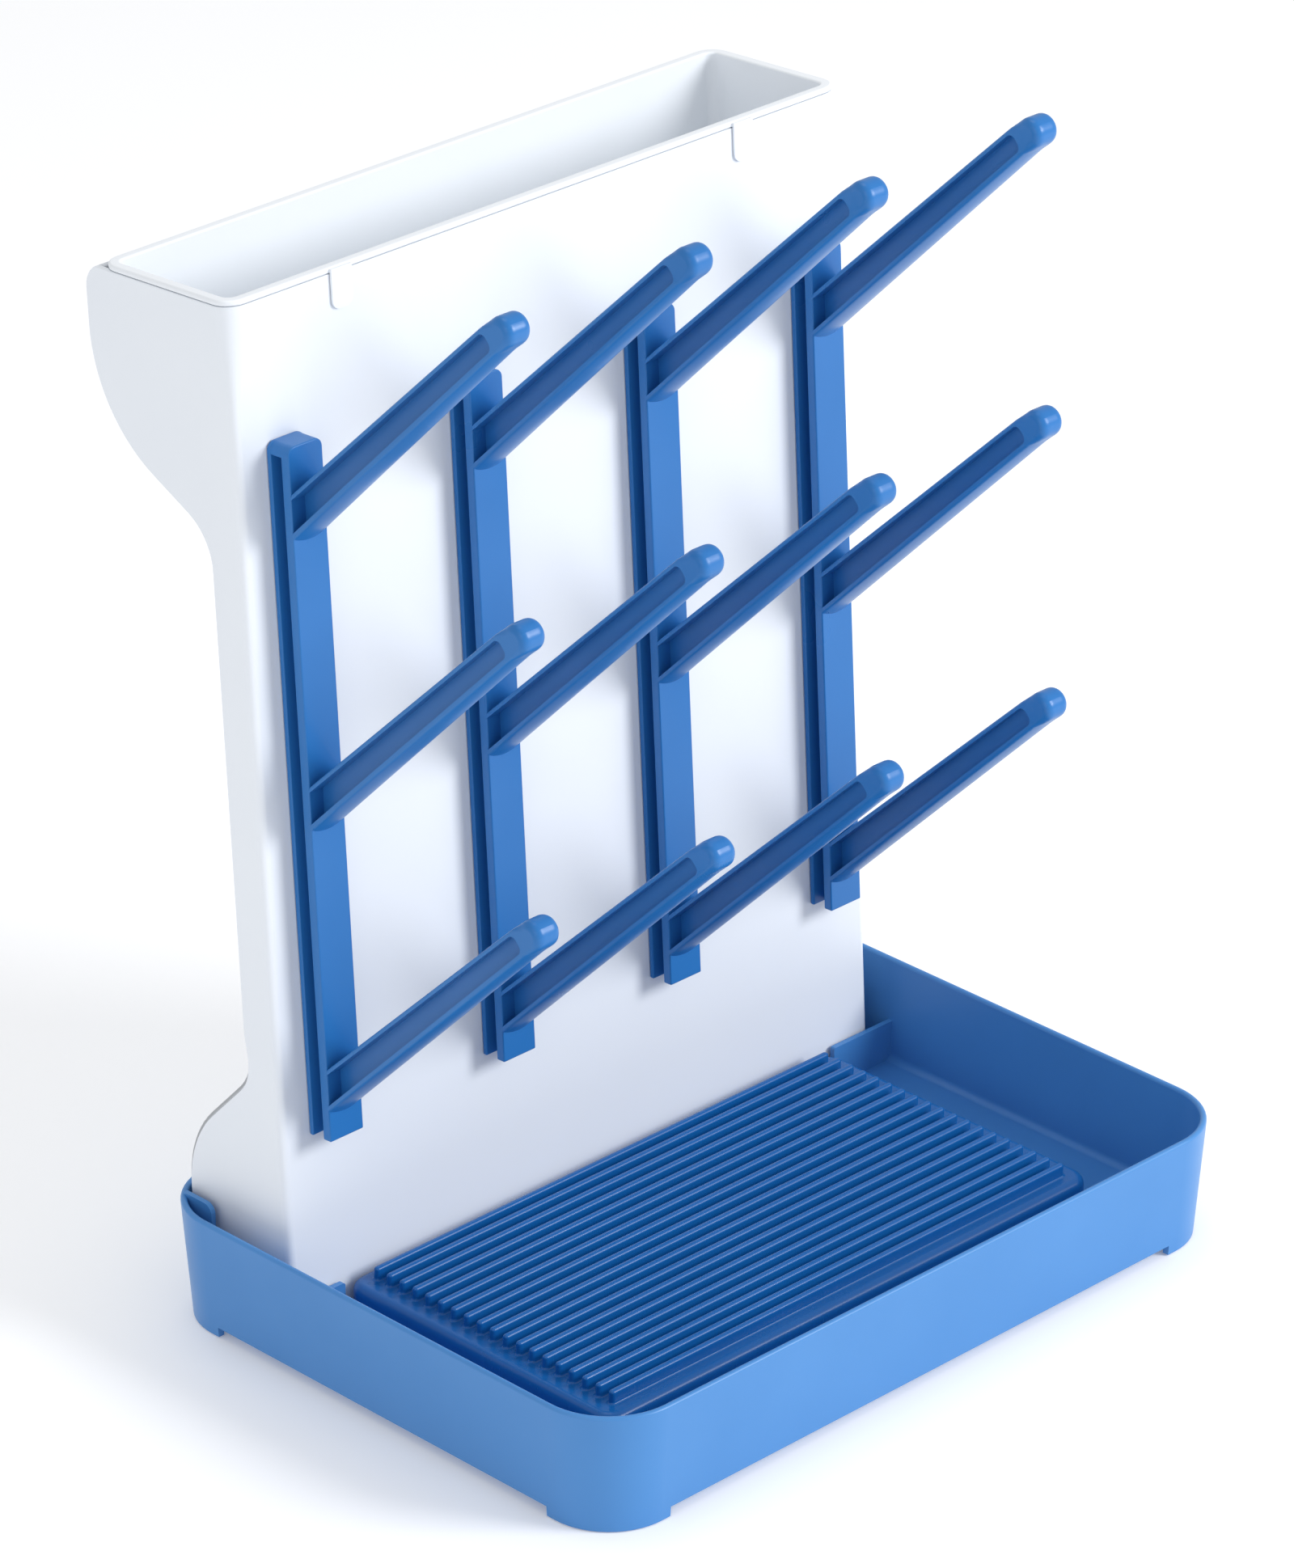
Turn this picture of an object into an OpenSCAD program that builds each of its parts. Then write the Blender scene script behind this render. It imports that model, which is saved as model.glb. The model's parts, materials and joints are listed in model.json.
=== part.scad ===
// Countertop drying rack for feeding bottles: a drip tray on four corner feet, a ribbed
// drip insert, a hollow leaning tower that stands in the tray, four rails with three
// upswept pegs each, and a small-parts bin that drops into the tower's head.
// Lengths are in millimetres. X runs along the rack, -Y is the front, Z is up.
// The origin is on the floor, under the centre of the whole rack.

/* [Drip tray] */
// Width of the tray across its rim
tray_w = 328; // [300:1:400]
// Depth of the tray across its rim
tray_d = 240; // [200:1:300]
// Height of the rim above the floor
tray_h = 48.5; // [44:0.5:60]
// Corner radius of the rim
tray_r = 30; // [22:1:40]
// Thickness of the tray walls
tray_wall = 2.6; // [2:0.1:3.4]
// Thickness of the tray floor
tray_floor = 2.4; // [1.8:0.1:3.2]
// How far each wall leans in between its rim and its lower edge
tray_draft = 3.2; // [1:0.1:5]
// Height of the walls' lower edge above the floor
foot_h = 4.5; // [3:0.5:7]
// Length of each corner foot along the walls
foot_len = 34; // [30:1:60]
// Diameter of the rubber foot pads
pad_d = 16; // [10:0.5:20]
// How far the pads stand below the feet
pad_proud = 0.5; // [0.2:0.1:1.5]

/* [Drip insert] */
// Width of the water channel between the insert and the tray wall
channel_w = 32.5; // [15:0.5:40]
// Height of the insert's deck above the tray floor
deck_h = 15.6; // [10:0.2:20]
// Thickness of the deck and of its skirt
deck_wall = 2; // [1.6:0.1:3]
// Corner radius of the deck
deck_r = 8; // [5:0.5:15]
// Height of the ribs above the deck
rib_h = 5.2; // [3:0.1:7]
// Width of one rib
rib_w = 2.8; // [2:0.1:4]
// Distance from rib to rib
rib_pitch = 6.77; // [5:0.01:9]
// Flat border between the ribs and the edge of the deck
rib_border = 8.2; // [5:0.1:15]

/* [Tower] */
// Gap between the tower's side and the tray wall at the tray floor
tower_side_gap = 8.4; // [5:0.1:20]
// Gap between the tower's foot and the rear tray wall at the tray floor
tower_rear_gap = 3.3; // [2.4:0.1:6]
// Height of the tower along its front face
tower_h = 404.2; // [395:0.1:520]
// How far the tower leans back, in degrees
tower_lean = 3.15; // [0:0.05:4]
// Depth of the head that holds the bin
head_depth = 74.8; // [66:0.1:90]
// Depth of the slim waist
waist_depth = 17; // [16:0.1:20]
// Depth of the foot
foot_depth = 54.8; // [50:0.1:62]
// Wall thickness of both tower shells
tower_wall = 2.2; // [1.8:0.1:2.8]
// Radius of the soft front corners
tower_round = 4; // [3:0.1:8]

/* [Bin] */
// Depth of the bin below the tower's top edge
bin_depth = 56; // [30:1:60]
// Wall thickness of the bin
bin_wall = 1.6; // [1.2:0.1:2.4]
// Height of the bin's lip above the tower
lip_h = 2; // [1.6:0.1:4]
// Width of one hook tab
tab_w = 9.6; // [6:0.1:16]
// Distance of each hook tab from the middle
tab_x = 98.3; // [60:0.1:120]
// Reach of a hook tab below the tower's top edge
tab_drop = 13.2; // [8:0.1:20]

/* [Peg rails] */
// Number of rails
rail_count = 4; // [2:1:5]
// Distance from the tower's side to the middle of the outer rail
rail_edge = 21.4; // [15:0.1:40]
// Distance from the tower's top edge down to the rails
rail_top_gap = 51.7; // [30:0.1:60]
// Width of a rail's face
rail_w = 16; // [12:0.1:20]
// Depth of a rail from the tower to its face
rail_depth = 11.2; // [9:0.1:16]
// Thickness of the rail's face plate
plate_t = 4; // [3:0.1:5]
// Number of pegs on a rail
peg_count = 3; // [2:1:3]
// Distance from peg to peg along the rail
peg_pitch = 110.3; // [80:0.1:135]
// Reach of a peg from the rail's face to the centre of its tip
peg_len = 141.5; // [100:0.5:150]
// Upward angle of a peg from the rail's face, in degrees
peg_angle = 41.2; // [30:0.1:50]
// Thickness of a peg at its root
peg_root = 14; // [11:0.1:17]
// Diameter of a peg's tip
peg_tip = 11.5; // [8:0.1:13]
// Rail beyond the top peg
peg_top_gap = 17; // [5:0.1:30]
// Rail below the bottom peg
peg_low_gap = 10.5; // [5:0.1:20]

/* [Hidden] */
$fn = 64;
over = 1;               // how far a cut runs past the face it opens
seat_gap = 0.1;         // between a piece and the face it stands on
slip_gap = 0.5;         // between the bin and the tower around it
cover_gap = 0.2;        // between the back cover and the side walls
rail_gap = 0.2;         // between a rail and the tower's face

// Tray: the walls lean out by the same amount for every millimetre of height
wall_rate = tray_draft / (tray_h - foot_h);
floor_z = foot_h + tray_floor;
inner_half_w = tray_w / 2 - wall_rate * (tray_h - floor_z) - tray_wall;
pad_t = 1.5;                            // thickness of a foot pad
inner_half_d = tray_d / 2 - wall_rate * (tray_h - floor_z) - tray_wall;

// Tower: its own frame has Y to the rear of the front face and Z along that face
tower_w = 2 * (inner_half_w - tower_side_gap);
tower_y = inner_half_d - tower_rear_gap - foot_depth * cos(tower_lean) - floor_z * tan(tower_lean);
head_round = 56;                        // the head's big rear curve
blend_round = 22;                       // the hollow curves next to the waist
foot_round = 46;                        // the foot's rear curve
head_c = [head_depth - head_round, tower_h - 22.7];
edge_round = 10;                        // the soft upper rear edge
edge_c = [head_depth - edge_round, tower_h - edge_round + 1.1];
lip_rear = edge_c[0] + 2.5;
head_blend_c = [waist_depth + blend_round, tower_h - 100.7];
foot_c = [foot_depth - foot_round, 52];
foot_blend_c = [waist_depth + blend_round, 117];
foot_in = 2.2;                          // how far the foot draws in inside the tray
foot_in_top = 46;
foot_in_low = 30;
arc_steps = 10;

// The whole rack is moved so that the origin is under the middle of its outline
rear_y = tower_y + edge_c[1] * sin(tower_lean) + head_depth * cos(tower_lean);
rack_y = (tray_d / 2 - rear_y) / 2;

// Radius that a square corner needs to stay inside the tray's round corner. The corner is
// [a, b] from the round corner's centre, and q is that round corner's free radius.
function corner_need(a, b, q) =
    let (spare = a + b - q)
    a * a + b * b <= q * q ? 1 : spare - sqrt(max(0, spare * spare - a * a - b * b + q * q));
foot_corner_r = max(1, corner_need(
    tower_w / 2 - tray_w / 2 + tray_r,
    tower_y + foot_depth * cos(tower_lean) + tray_h * tan(tower_lean) - tray_d / 2 + tray_r,
    tray_r - tray_wall - 1));

// Insert
deck_half_w = inner_half_w - channel_w;
deck_front = -(inner_half_d - channel_w);
deck_rear = tower_y - seat_gap;
deck_z = floor_z + deck_h;
rib_count = floor((deck_rear - deck_front - 2 * rib_border + rib_border - rib_w / 2) / rib_pitch) + 1;

// Rails and pegs
rail_pitch = (tower_w - 2 * rail_edge) / (rail_count - 1);
root_h = peg_root / cos(peg_angle);
rail_len = (peg_count - 1) * peg_pitch + root_h + peg_top_gap + peg_low_gap;
rail_top = tower_h - rail_top_gap;
rail_low = rail_top - rail_len;
flange_t = 2;                           // the rail's back flange
web_t = 3;                              // the upright web in rails and pegs
peg_flange_top = 2.2;
peg_flange_low = 3.4;
hook_w = 5;
hook_neck = 6;                          // height of a hook's neck
hook_drop = 6;                          // reach of a hook behind the tower's face
hook_travel = 7.5;                      // how far a rail lifts before it comes off
hook_play = 0.3;

// Screws that close the tower
screw_d = 2.9;
screw_head_d = 6;
screw_head_h = 1.8;
screw_len = 9;
boss_d = 7.5;
cover_pad_d = 10;
cover_pad_t = 1.4;
screw_rows = [foot_blend_c[1] + 10, head_blend_c[1] - 12];
screw_x = [for (i = [0 : 2]) (i - 1) * rail_pitch * (rail_count > 3 ? 1 : 0.6)];

// ---------- shared shapes ----------

// Upright block with four rounded corners
module rounded_block(x0, x1, y0, y1, h, r) {
    translate([x0 + r, y0, 0]) cube([x1 - x0 - 2 * r, y1 - y0, h]);
    translate([x0, y0 + r, 0]) cube([x1 - x0, y1 - y0 - 2 * r, h]);
    for (x = [x0 + r, x1 - r])
        for (y = [y0 + r, y1 - r])
            translate([x, y, 0]) cylinder(h = h, r = r);
}

// The tray's leaning outline between two heights, drawn in by a wall thickness
module tray_form(z0, z1, inset) {
    function r_at(z) = tray_r - wall_rate * (tray_h - z) - inset;
    hull()
        for (x = [-1, 1])
            for (y = [-1, 1])
                translate([x * (tray_w / 2 - tray_r), y * (tray_d / 2 - tray_r), z0])
                    cylinder(h = z1 - z0, r1 = r_at(z0), r2 = r_at(z1));
}

// Puts an outline drawn in (rearward, upward) into place and gives it a width along X
module along_x(w) {
    rotate([90, 0, 90]) translate([0, 0, -w / 2]) linear_extrude(w) children();
}

// Moves a piece from the tower's leaning frame to the rack
module lean() {
    translate([0, tower_y, 0]) rotate([-tower_lean, 0, 0]) children();
}

module rack() {
    translate([0, rack_y, 0]) children();
}

// ---------- tray ----------

// Puts a piece under one of the four corners, numbered 1 to 4
module at_corner(i) {
    in_by = tray_r - 4;
    side = i % 2 == 0 ? 1 : -1;
    end = i > 2 ? 1 : -1;
    translate([side * (tray_w / 2 - in_by), end * (tray_d / 2 - in_by), 0]) children();
}

module base_tray() color("#4383cf") rack() {
    span_w = tray_w - 2 * foot_len;
    span_d = tray_d - 2 * foot_len;
    difference() {
        tray_form(pad_proud, tray_h, 0);
        tray_form(floor_z, tray_h + over, tray_wall);
        tray_form(pad_proud - over, foot_h, tray_wall);
        translate([-span_w / 2, -tray_d, 0]) cube([span_w, 2 * tray_d, foot_h]);
        translate([-tray_w, -span_d / 2, 0]) cube([2 * tray_w, span_d, foot_h]);
    }
    // Bosses under the floor that carry the pads
    for (i = [1 : 4])
        at_corner(i) translate([0, 0, pad_t]) cylinder(h = foot_h - pad_t + tray_floor / 2, d = pad_d + 2);
    tower_seat();
}

// Ribs on the tray floor that hold the foot of the tower
module tower_seat() {
    seat_t = 2.4;
    spigot_h = 18;
    play = 0.8;
    spigot_half = tower_w / 2 - tower_wall - play;
    spigot_front = tower_y + tower_wall + (floor_z + spigot_h) * tan(tower_lean) + play;
    spigot_rear = tower_y + (foot_depth - foot_in - tower_wall) * cos(tower_lean) - play;
    // Spigot inside the hollow foot
    translate([0, 0, floor_z - seat_t / 2]) difference() {
        rounded_block(-spigot_half, spigot_half, spigot_front, spigot_rear, spigot_h, 4);
        translate([0, 0, -over])
            rounded_block(-spigot_half + seat_t, spigot_half - seat_t, spigot_front + seat_t,
                          spigot_rear - seat_t, spigot_h + 2 * over, 2);
    }
    for (side = [-1, 1]) {
        // Low wall in front of each end of the foot, beside the insert
        stub_h = deck_h + 2.3;
        stub_in = deck_half_w + 2.8;
        stub_out = inner_half_w + wall_rate * stub_h + tray_wall / 2;
        translate([side > 0 ? stub_in : -stub_out, tower_y - seat_t, floor_z - seat_t / 2])
            cube([stub_out - stub_in, seat_t - 0.2, stub_h + seat_t / 2]);
        corner_guide(side);
    }
}

// Upright plate between the foot and the tray wall, grown into the tray's rear corner
module corner_guide(side) {
    guide_t = 2;
    guide_h = tray_h + 1;
    guide_x = side * (tower_w / 2 + tower_side_gap / 2);
    guide_y = inner_half_d - 20;
    intersection() {
        tray_form(foot_h + tray_floor / 2, guide_h, tray_wall / 2);
        difference() {
            translate([guide_x - guide_t / 2, guide_y, 0]) cube([guide_t, tray_d, guide_h]);
            // rounded top corner
            translate([guide_x - guide_t, guide_y + 4, guide_h - 4]) difference() {
                translate([0, -4 - over, 0]) cube([2 * guide_t, 4 + over, 4 + over]);
                translate([-over, 0, 0]) rotate([0, 90, 0]) cylinder(h = 2 * guide_t + 2 * over, r = 4);
            }
        }
    }
}

module foot_pad(i) color("#1f3550") rack() {
    at_corner(i) cylinder(h = pad_t, d = pad_d);
}

// ---------- insert ----------

module drip_insert() color("#1c62ad") rack() {
    y0 = deck_front;
    translate([0, 0, floor_z + seat_gap]) difference() {
        rounded_block(-deck_half_w, deck_half_w, y0, deck_rear, deck_h - seat_gap, deck_r);
        translate([0, 0, -over])
            rounded_block(-deck_half_w + deck_wall, deck_half_w - deck_wall, y0 + deck_wall, deck_rear - deck_wall,
                          deck_h - seat_gap - deck_wall + over, deck_r - deck_wall);
    }
    rib_half = deck_half_w - rib_border - rib_w / 2;
    for (i = [0 : rib_count - 1])
        translate([0, y0 + rib_border + i * rib_pitch, deck_z - deck_wall / 2]) {
            translate([-rib_half, -rib_w / 2, 0]) cube([2 * rib_half, rib_w, rib_h + deck_wall / 2]);
            for (side = [-1, 1])
                translate([side * rib_half, 0, 0]) cylinder(h = rib_h + deck_wall / 2, d = rib_w);
        }
}

// ---------- tower ----------

// Angle at which the straight run leaves the outer curve, between two opposite curves
function run_angle(c1, r1, c2, r2, turn) =
    let (d = c2 - c1) atan2(d[1], d[0]) + turn * acos((r1 + r2) / norm(d));

function arc(c, r, a0, a1) =
    [for (i = [0 : arc_steps]) let (a = a0 + (a1 - a0) * i / arc_steps) c + r * [cos(a), sin(a)]];

// The rear curve of the tower from the top edge to the bottom, drawn in by inset
function rear_curve(inset) =
    let (
        edge_r = edge_round - inset,
        edge_rise = tower_h - edge_c[1],
        edge_a = edge_r > edge_rise ? asin(edge_rise / edge_r) : 90,
        head_a = run_angle(head_c, head_round, head_blend_c, blend_round, 1),
        foot_a = run_angle(foot_c, foot_round, foot_blend_c, blend_round, -1)
    )
    concat(
        [[edge_c[0] + edge_r * cos(edge_a), tower_h]],
        arc(edge_c, edge_r, edge_a, 0),
        arc(head_c, head_round - inset, 0, head_a),
        arc(head_blend_c, blend_round + inset, head_a + 180, 180),
        arc(foot_blend_c, blend_round + inset, 180, foot_a + 180),
        arc(foot_c, foot_round - inset, foot_a, 0),
        [[foot_depth - inset, foot_in_top],
         [foot_depth - foot_in - inset, foot_in_low],
         [foot_depth - foot_in - inset, -over]]
    );

// Side view of the tower, drawn in by front at the front and by inset along the rear
module side_view(front, inset) {
    polygon(concat([[front, -over], [front, tower_h]], rear_curve(inset)));
}

// What rounds one upright corner: the square corner less a quarter circle
module corner_cut(side, end, y, r, z0, z1) {
    translate([side * (tower_w / 2 - r), y - end * r, z0]) difference() {
        translate([side > 0 ? 0 : -r - over, end > 0 ? 0 : -r - over, 0]) cube([r + over, r + over, z1 - z0]);
        translate([0, 0, -over]) cylinder(h = z1 - z0 + 2 * over, r = r);
    }
}

// Rounds both upright front corners between two heights
module front_corners(z0, z1) {
    for (side = [-1, 1])
        corner_cut(side, -1, 0, tower_round, z0, z1);
}

// Rounds the foot's rear corners, so that they clear the tray's rounded corners
module foot_corners() {
    for (side = [-1, 1])
        corner_cut(side, 1, foot_depth, foot_corner_r, -3 * over, foot_blend_c[1]);
}

// Leans a shell and cuts it off just above the tray floor
module above_floor() {
    difference() {
        lean() children();
        translate([-tray_w, -tray_d, -tray_h]) cube([2 * tray_w, 2 * tray_d, tray_h + floor_z + seat_gap]);
    }
}

function hook_top(i) = rail_top - 22 - i * (rail_len - 50) / 2;

module tower_front_shell() color("#f1f4f8") rack() above_floor() {
    difference() {
        along_x(tower_w) side_view(0, 0);
        translate([-tower_w / 2 + tower_wall, tower_wall, -3 * over])
            cube([tower_w - 2 * tower_wall, 2 * head_depth, tower_h + 6 * over]);
        front_corners(-3 * over, tower_h + over);
        foot_corners();
        // Slots for the rail hooks
        for (r = [1 : rail_count])
            for (i = [0 : 2])
                translate([rail_x(r) - hook_w / 2 - hook_play, -over, hook_top(i) - hook_neck - hook_play])
                    cube([hook_w + 2 * hook_play, tower_wall + 2 * over,
                          hook_neck + hook_travel + 3 * hook_play]);
    }
    // Bosses that the back cover is screwed to
    for (x = screw_x)
        for (z = screw_rows)
            translate([x, tower_wall / 2, z]) rotate([-90, 0, 0]) difference() {
                cylinder(h = waist_depth - tower_wall - cover_pad_t - cover_gap - tower_wall / 2, d = boss_d);
                translate([0, 0, tower_wall]) cylinder(h = waist_depth, d = screw_d + 0.1);
            }
}

module tower_back_cover() color("#f1f4f8") rack() above_floor() {
    difference() {
        union() {
            along_x(tower_w - 2 * (tower_wall + cover_gap)) difference() {
                side_view(0, 0);
                offset_side_view();
                translate([-over, -2 * over]) square([tower_wall + 2 * over, tower_h + 4 * over]);
            }
            for (x = screw_x)
                for (z = screw_rows)
                    translate([x, waist_depth - tower_wall - cover_pad_t, z]) rotate([-90, 0, 0])
                        cylinder(h = cover_pad_t + tower_wall / 2, d = cover_pad_d);
        }
        foot_corners();
        for (x = screw_x)
            for (z = screw_rows)
                translate([x, waist_depth, z]) rotate([90, 0, 0]) {
                    translate([0, 0, -over]) cylinder(h = screw_head_h + 0.2 + over, d = screw_head_d + 0.6);
                    translate([0, 0, 0]) cylinder(h = waist_depth / 2, d = screw_d + 0.5);
                }
    }
}

// What the back cover leaves open: the tower's inside, run past its ends
module offset_side_view() {
    side_view(tower_wall, tower_wall);
    translate([tower_wall, -3 * over]) square([foot_depth - 2 * tower_wall, 4 * over]);
}

module cover_screws() color("#b9bdc2") rack() lean() {
    for (x = screw_x)
        for (z = screw_rows)
            translate([x, waist_depth - 0.2, z]) rotate([90, 0, 0]) {
                cylinder(h = screw_head_h, d = screw_head_d);
                cylinder(h = screw_head_h + screw_len, d = screw_d);
            }
}

// ---------- bin ----------

module top_bin() color("#f4f6f9") rack() lean() {
    bin_in = tower_wall + slip_gap;
    lip_z = tower_h + seat_gap * 3;
    difference() {
        union() {
            // Cup that hangs inside the head
            cup(bin_in, tower_h - bin_depth);
            // Lip that lies on the tower's top edge
            difference() {
                translate([-tower_w / 2, 0, lip_z]) cube([tower_w, lip_rear, lip_h]);
                front_corners(tower_h - over, lip_z + lip_h + over);
            }
            for (side = [-1, 1])
                hook_tab(side * tab_x);
        }
        // Inside of the cup
        cup(bin_in + bin_wall, tower_h - bin_depth + bin_wall);
        bin_drains();
    }
}

// Solid form of the cup, drawn in from the tower's outline, with its flat floor at a height
module cup(inset, z0) {
    inset_rear = inset - tower_wall;
    intersection() {
        along_x(tower_w - 2 * inset) side_view(inset, inset);
        translate([-tower_w, 0, z0]) cube([2 * tower_w, edge_c[0] - inset_rear, 2 * bin_depth]);
    }
    translate([-tower_w / 2 + inset, inset, tower_h - over])
        cube([tower_w - 2 * inset, edge_c[0] - inset_rear - inset, over + seat_gap * 3 + (inset_rear > 1 ? 2 * lip_h : 0.1)]);
}

// One U-shaped tab that hooks over the front wall
module hook_tab(x) {
    tab_t = 0.9;
    tab_r = 3;
    low = tower_h - tab_drop;
    translate([x - tab_w / 2, -tab_t - rail_gap, 0]) {
        translate([0, 0, low + tab_r]) cube([tab_w, tab_t, tab_drop - tab_r + lip_h]);
        translate([tab_r, 0, low]) cube([tab_w - 2 * tab_r, tab_t, tab_r + over]);
        for (side = [tab_r, tab_w - tab_r])
            translate([side, 0, low + tab_r]) rotate([-90, 0, 0]) cylinder(h = tab_t, r = tab_r);
        translate([0, 0, tower_h + seat_gap * 3]) cube([tab_w, tab_t + rail_gap + tower_round + over, lip_h]);
    }
}

module bin_drains() {
    drains = 8;
    drain_l = 22;
    drain_w = 3;
    step = (tower_w - 40) / drains;
    for (i = [0 : drains - 1])
        translate([(i - (drains - 1) / 2) * step, head_depth * 0.2, tower_h - bin_depth - over]) {
            translate([-drain_w / 2, 0, 0]) cube([drain_w, drain_l, bin_wall + 2 * over]);
            for (y = [0, drain_l])
                translate([0, y, 0]) cylinder(h = bin_wall + 2 * over, d = drain_w);
        }
}

// ---------- rails ----------

function rail_x(i) = (i - (rail_count + 1) / 2) * rail_pitch;

module peg_rail(i) color("#2f6fbd") rack() lean() translate([rail_x(i), 0, 0]) {
    face = -rail_depth;
    // Back flange, web and face plate
    translate([-rail_w / 2 - 0.3, -rail_gap - flange_t, rail_low]) cube([rail_w + 0.6, flange_t, rail_len]);
    translate([-web_t / 2, face + plate_t / 2, rail_low])
        cube([web_t, rail_depth - rail_gap - plate_t / 2 - flange_t / 2, rail_len]);
    translate([-rail_w / 2, face, rail_low]) cube([rail_w, plate_t, rail_len]);
    // Closed top end
    translate([-rail_w / 2, face + plate_t / 2, rail_top - 3])
        cube([rail_w, rail_depth - rail_gap - plate_t / 2 - flange_t / 2, 3]);
    for (k = [0 : peg_count - 1])
        translate([0, face, rail_low + peg_low_gap + root_h / 2 + k * peg_pitch]) peg();
    for (k = [0 : 2])
        rail_hook(hook_top(k));
}

// One peg, its root at the origin on the rail's face, cut flush inside the face plate
module peg() {
    half = root_h;
    difference() {
        rotate([90 - peg_angle, 0, 0]) peg_bar();
        translate([-rail_w, plate_t / 2, -peg_len]) cube([2 * rail_w, peg_len, 2 * peg_len]);
        for (side = [-1, 1])
            intersection() {
                translate([side > 0 ? web_t / 2 : -rail_w, -2 * peg_len, -peg_len])
                    cube([rail_w - web_t / 2, 2 * peg_len, 3 * peg_len]);
                rotate([90 - peg_angle, 0, 0]) peg_pocket();
            }
    }
}

// Outline of a tapering bar with a round end: half widths at its root and at its tip
module taper(root, tip, z0) {
    rate = (root - tip) / peg_len;
    polygon([[-root + rate * z0, z0], [root - rate * z0, z0], [tip, peg_len], [-tip, peg_len]]);
    translate([0, peg_len]) circle(r = tip);
}

// Solid peg along +Z: its side view crossed with its top view
module peg_bar() {
    z0 = -peg_root * 1.5;
    intersection() {
        rotate([90, 0, 90]) translate([0, 0, -rail_w]) linear_extrude(2 * rail_w)
            taper(peg_root / 2, peg_tip / 2, z0);
        rotate([90, 0, 0]) translate([0, 0, -rail_w]) linear_extrude(2 * rail_w)
            taper(rail_w / 2, peg_tip / 2, z0);
    }
}

// Hollow between a peg's two flanges, open to both sides of its web
module peg_pocket() {
    end = peg_len - peg_tip * 0.7;
    rate = (peg_root - peg_tip) / 2 / peg_len;
    function low_y(z) = -(peg_root / 2 - rate * z) + peg_flange_low;
    function top_y(z) = (peg_root / 2 - rate * z) - peg_flange_top;
    end_r = (top_y(end) - low_y(end)) / 2;
    rotate([90, 0, 90]) translate([0, 0, -rail_w]) linear_extrude(2 * rail_w) {
        polygon([[low_y(0), low_y(0) * tan(peg_angle)], [top_y(0), top_y(0) * tan(peg_angle)],
                 [top_y(end - end_r), end - end_r], [low_y(end - end_r), end - end_r]]);
        translate([(top_y(end) + low_y(end)) / 2, end - end_r]) circle(r = end_r);
    }
}

// Hook behind a rail: a neck through the tower's slot and a tongue behind its face
module rail_hook(top) {
    reach = tower_wall + hook_play;
    translate([-hook_w / 2, -rail_gap - flange_t / 2, top - hook_neck])
        cube([hook_w, rail_gap + flange_t / 2 + reach + 2, hook_neck]);
    translate([-hook_w / 2, reach, top - hook_neck - hook_drop])
        cube([hook_w, 2, hook_drop + hook_neck]);
}

base_tray();
foot_pad(1);  // foot_pad_1
foot_pad(2);  // foot_pad_2
foot_pad(3);  // foot_pad_3
foot_pad(4);  // foot_pad_4
drip_insert();
tower_front_shell();
tower_back_cover();
cover_screws();
top_bin();
peg_rail(1);  // peg_rail_1
peg_rail(2);  // peg_rail_2
peg_rail(3);  // peg_rail_3
peg_rail(4);  // peg_rail_4
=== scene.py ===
# %% [markdown]
# # A drying rack for feeding bottles
# The rack is five kinds of moulded plastic part: a drip tray, a ribbed insert, a hollow leaning
# tower, a bin in the tower's head, and four rails with three pegs each. The CAD model gives the
# size and place of every part. This lesson builds each one again with the soft edges, fillets and
# finish that an injection mould leaves, and puts it exactly where its CAD node is.

# %% Load the frame
import json
import math

import bmesh
import bpy
from mathutils import Matrix, Vector


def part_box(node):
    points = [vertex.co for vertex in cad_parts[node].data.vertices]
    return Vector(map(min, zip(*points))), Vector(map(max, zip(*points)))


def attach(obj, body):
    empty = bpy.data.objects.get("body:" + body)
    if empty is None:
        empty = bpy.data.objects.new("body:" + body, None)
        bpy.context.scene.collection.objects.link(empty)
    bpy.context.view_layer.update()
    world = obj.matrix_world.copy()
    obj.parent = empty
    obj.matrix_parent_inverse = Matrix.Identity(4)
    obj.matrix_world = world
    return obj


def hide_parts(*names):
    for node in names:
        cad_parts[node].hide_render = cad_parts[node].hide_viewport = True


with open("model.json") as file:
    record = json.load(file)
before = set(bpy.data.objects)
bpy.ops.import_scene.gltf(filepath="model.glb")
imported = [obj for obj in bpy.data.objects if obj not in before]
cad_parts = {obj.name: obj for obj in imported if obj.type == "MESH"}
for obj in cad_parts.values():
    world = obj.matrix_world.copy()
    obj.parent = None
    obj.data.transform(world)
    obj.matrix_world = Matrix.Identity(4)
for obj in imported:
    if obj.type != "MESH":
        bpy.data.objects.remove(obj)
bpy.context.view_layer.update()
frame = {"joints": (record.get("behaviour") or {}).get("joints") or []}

# %% [markdown]
# ## Measures
# The lesson thinks in millimetres, as the maker of a mould does, and turns to metres only when a
# piece is finished. Sizes come from the boxes of the CAD nodes, and the tower's lean from the
# joint that lifts it out of the tray.

# %% Boxes and the tower's lean
def box_mm(node):
    low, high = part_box(node)
    return low * 1000, high * 1000


tray_low, tray_high = box_mm("base_tray")
insert_low, insert_high = box_mm("drip_insert")
shell_low, shell_high = box_mm("tower_front_shell")

lift = next(j for j in frame["joints"] if j["name"] == "tower_lift")["axis"]
lean = math.atan2(lift[1], lift[2])
tray_middle = (tray_low.y + tray_high.y) / 2
tower_front = shell_low.y - shell_low.z * math.tan(lean)
tower_half = shell_high.x
LEANING = Matrix.Translation((0, tower_front, 0)) @ Matrix.Rotation(-lean, 4, "X")
IN_TRAY = Matrix.Translation((0, tray_middle, 0))
print("lean", round(math.degrees(lean), 2), "degrees; tray middle y", round(tray_middle, 2),
      "mm; tower front y", round(tower_front, 2), "mm")

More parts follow.
